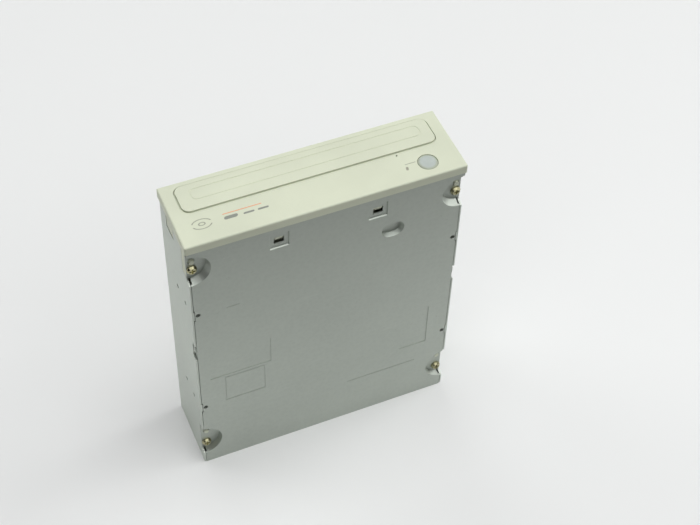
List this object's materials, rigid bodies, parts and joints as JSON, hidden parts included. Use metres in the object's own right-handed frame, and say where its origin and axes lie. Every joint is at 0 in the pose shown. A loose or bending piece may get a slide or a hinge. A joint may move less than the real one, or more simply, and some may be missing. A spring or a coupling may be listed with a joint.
{
  "type": "internal optical disc drive",
  "caption": "Half-height internal optical disc drive standing on its rear panel: steel case, ivory bezel with tray door and eject button, sliding disc tray and full mechanism.",
  "frame": {"origin": "middle of the rear panel's footprint, on the floor the drive stands on", "axes": "+Z out of the bezel, along the drive's depth; +Y towards the drive's top cover, so the bottom cover faces -Y; +X to the right when the bezel is seen with the top cover up"},
  "size_m": [0.148, 0.042, 0.1846],
  "materials": {
    "steel": "zinc-plated sheet steel, satin",
    "screw_zinc": "yellow zinc plated",
    "screw_steel": "bright zinc plated",
    "label_paper": "matt",
    "bezel_ivory": "fine moulded texture",
    "button_clear": "translucent grey-blue",
    "pipe_dark": "translucent, unlit",
    "tray_black": "fine moulded texture",
    "frame_black": "moulded",
    "frame_light": "moulded",
    "gear_white": "acetal",
    "belt_rubber": "matt",
    "damper_rubber": "matt",
    "turntable_black": "moulded",
    "magnet": "sintered",
    "motor_can": "nickel plated",
    "shaft_steel": "ground",
    "coil_copper": "enamelled copper wire",
    "rotor_alu": "turned",
    "sled_cast": "die cast",
    "ribbon": "polyimide film",
    "ribbon_white": "flat cable",
    "lens_glass": "coated",
    "board_green": "solder mask",
    "chip_epoxy": "matt",
    "capacitor_can": "sleeved",
    "plug_black": "moulded",
    "plug_ivory": "nylon",
    "pin_gold": "gold flash",
    "led_green": "clear"
  },
  "bodies": {
    "case": {"top_cover": "steel", "bottom_cover": "steel", "cover_screws": "screw_zinc", "rating_label": "label_paper", "front_bezel": "bezel_ivory", "light_pipe": "pipe_dark", "main_frame": "frame_light", "clamp_bridge": "steel", "bridge_screws": "screw_steel", "loading_motor": "motor_can", "drive_belt": "belt_rubber", "gear_pins": "shaft_steel", "main_board": "board_green", "board_chips": "chip_epoxy", "board_capacitors": "capacitor_can", "board_screws": "screw_steel", "data_connector": "plug_black", "power_connector": "plug_ivory", "jumper_block": "plug_black", "audio_connectors": "plug_ivory", "connector_pins": "pin_gold", "front_board": "board_green", "front_ribbon": "ribbon_white", "eject_switch": "plug_black", "status_led": "led_green"},
    "tray": {"tray_door": "bezel_ivory", "disc_tray": "tray_black"},
    "button": {"eject_button": "button_clear"},
    "plunger": {"switch_plunger": "gear_white"},
    "drive_wheel": {"drive_gear": "gear_white"},
    "pulley_wheel": {"pulley_gear": "gear_white"},
    "motor_wheel": {"motor_shaft": "shaft_steel", "motor_pulley": "gear_white"},
    "cam": {"cam_slider": "gear_white"},
    "pickup_unit": {"lift_frame": "frame_black", "damper_grommets": "damper_rubber", "damper_screws": "screw_steel", "traverse_plate": "steel", "spindle_motor": "motor_can", "stator_coils": "coil_copper", "guide_rails": "shaft_steel", "rail_holders": "frame_black", "sled_motor": "motor_can"},
    "spindle": {"spindle_rotor": "rotor_alu", "turntable": "turntable_black", "turntable_pad": "belt_rubber"},
    "clamp": {"clamper": "turntable_black", "clamper_cap": "turntable_black", "clamp_magnet": "magnet"},
    "screw": {"lead_screw": "shaft_steel"},
    "sled": {"pickup_body": "sled_cast", "pickup_ribbon": "ribbon"},
    "lens": {"lens_holder": "turntable_black", "objective_lens": "lens_glass"}
  },
  "joints": [
    {"name": "tray_slide", "type": "slide", "parent": "case", "child": "tray", "axis": [0, 0, 1], "range_m": [0, 0.13]},
    {"name": "drive_gear_spin", "type": "hinge", "parent": "case", "child": "drive_wheel", "pos_m": [-0.051, -0.00665, 0.158], "axis": [0, 1, 0], "range_deg": [0, 1065]},
    {"name": "pulley_gear_spin", "type": "hinge", "parent": "case", "child": "pulley_wheel", "pos_m": [-0.03288, -0.00665, 0.1548], "axis": [0, 1, 0], "range_deg": [-3016, 0]},
    {"name": "motor_spin", "type": "hinge", "parent": "case", "child": "motor_wheel", "pos_m": [-0.004, -0.00365, 0.152], "axis": [0, 1, 0], "range_deg": [-7931, 0]},
    {"name": "cam_slide", "type": "slide", "parent": "case", "child": "cam", "axis": [1, 0, 0], "range_m": [0, 0.014]},
    {"name": "pickup_unit_tilt", "type": "hinge", "parent": "case", "child": "pickup_unit", "pos_m": [0, -0.0059, 0.022], "axis": [1, 0, 0], "range_deg": [0, 4.21]},
    {"name": "spindle_spin", "type": "hinge", "parent": "pickup_unit", "child": "spindle", "pos_m": [0, 0.00335, 0.106], "axis": [0, 1, 0], "continuous": true},
    {"name": "clamp_spin", "type": "hinge", "parent": "case", "child": "clamp", "pos_m": [0, 0.01135, 0.106], "axis": [0, 1, 0], "continuous": true},
    {"name": "pickup_slide", "type": "slide", "parent": "pickup_unit", "child": "sled", "axis": [0, 0, -1], "range_m": [0, 0.034]},
    {"name": "lead_screw_spin", "type": "hinge", "parent": "pickup_unit", "child": "screw", "pos_m": [0.026, -0.00855, 0.064], "axis": [0, 0, 1], "range_deg": [0, 4081]},
    {"name": "lens_focus", "type": "slide", "parent": "sled", "child": "lens", "axis": [0, 1, 0], "range_m": [-0.0005, 0.0005]},
    {"name": "eject_press", "type": "slide", "parent": "case", "child": "button", "axis": [0, 0, -1], "range_m": [0, 0.0008]},
    {"name": "plunger_press", "type": "slide", "parent": "case", "child": "plunger", "axis": [0, 0, -1], "range_m": [0, 0.0008]}
  ],
  "couplings": [
    {"joint": "drive_gear_spin", "follows": "tray_slide", "rad_per_m": 142.86},
    {"joint": "pulley_gear_spin", "follows": "tray_slide", "rad_per_m": -404.76},
    {"joint": "motor_spin", "follows": "tray_slide", "rad_per_m": -1064.7},
    {"joint": "pickup_unit_tilt", "follows": "cam_slide", "rad_per_m": 5.236},
    {"joint": "clamp_spin", "follows": "spindle_spin", "ratio": 1},
    {"joint": "lead_screw_spin", "follows": "pickup_slide", "rad_per_m": 2094.4},
    {"joint": "plunger_press", "follows": "eject_press", "ratio": 1}
  ]
}
